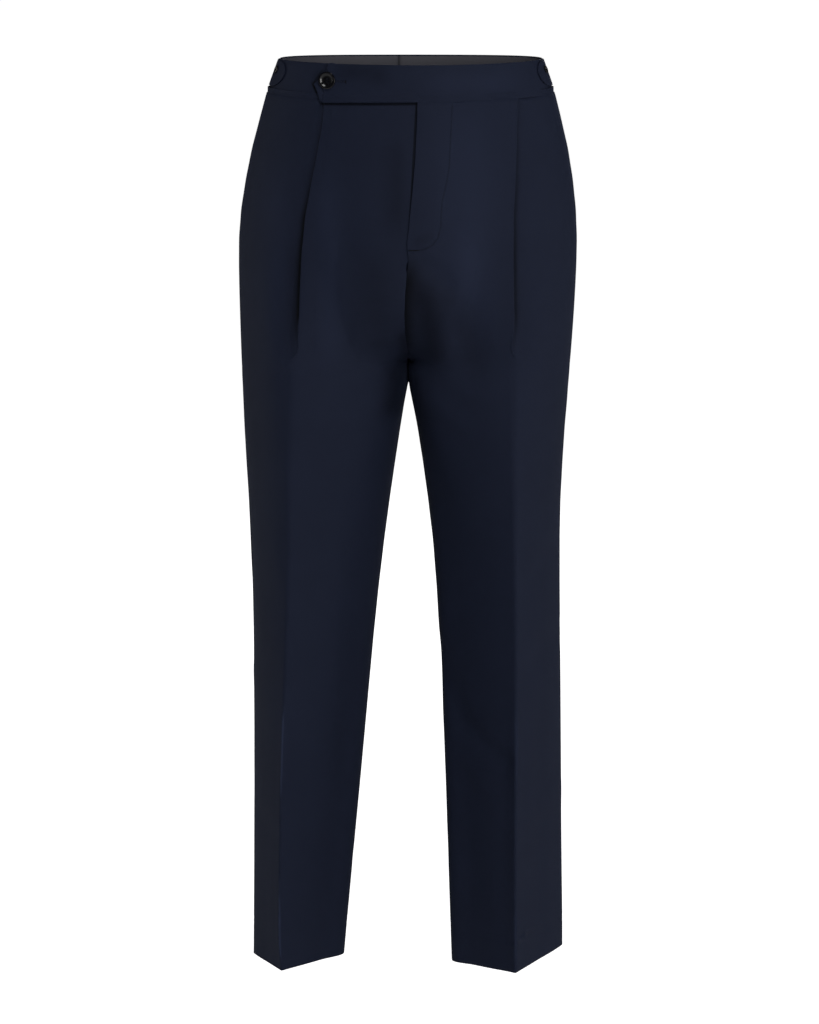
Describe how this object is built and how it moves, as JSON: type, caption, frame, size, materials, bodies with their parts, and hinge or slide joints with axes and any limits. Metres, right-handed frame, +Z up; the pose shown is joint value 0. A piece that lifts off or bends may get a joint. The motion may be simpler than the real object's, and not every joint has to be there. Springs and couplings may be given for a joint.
{
  "type": "pleated dress trousers",
  "caption": "Pleated dress trousers filled out as worn, with pressed creases, reverse pleats, a pointed waistband extension, side adjuster tabs and glossy buttons.",
  "frame": {"origin": "middle of the waist ring, half way up the waistband, where the wearer's waist holds the trousers", "axes": "+Z up the body, -Y out of the front, +X towards the wearer's left"},
  "size_m": [0.3962, 0.261, 1.0819],
  "materials": {
    "wool": "fine smooth navy wool with a soft sheen",
    "facing": "dark warm grey cotton, matt",
    "button": "polished black"
  },
  "bodies": {
    "root": {"front_right": "wool", "front_left": "wool", "back_right": "wool", "back_left": "wool", "waistband_right": "wool", "waistband_left": "wool", "facing_right": "facing", "facing_left": "facing", "side_tab_right": "wool", "side_tab_left": "wool", "button_front": "button", "button_side_right": "button", "button_side_left": "button"}
  },
  "joints": []
}
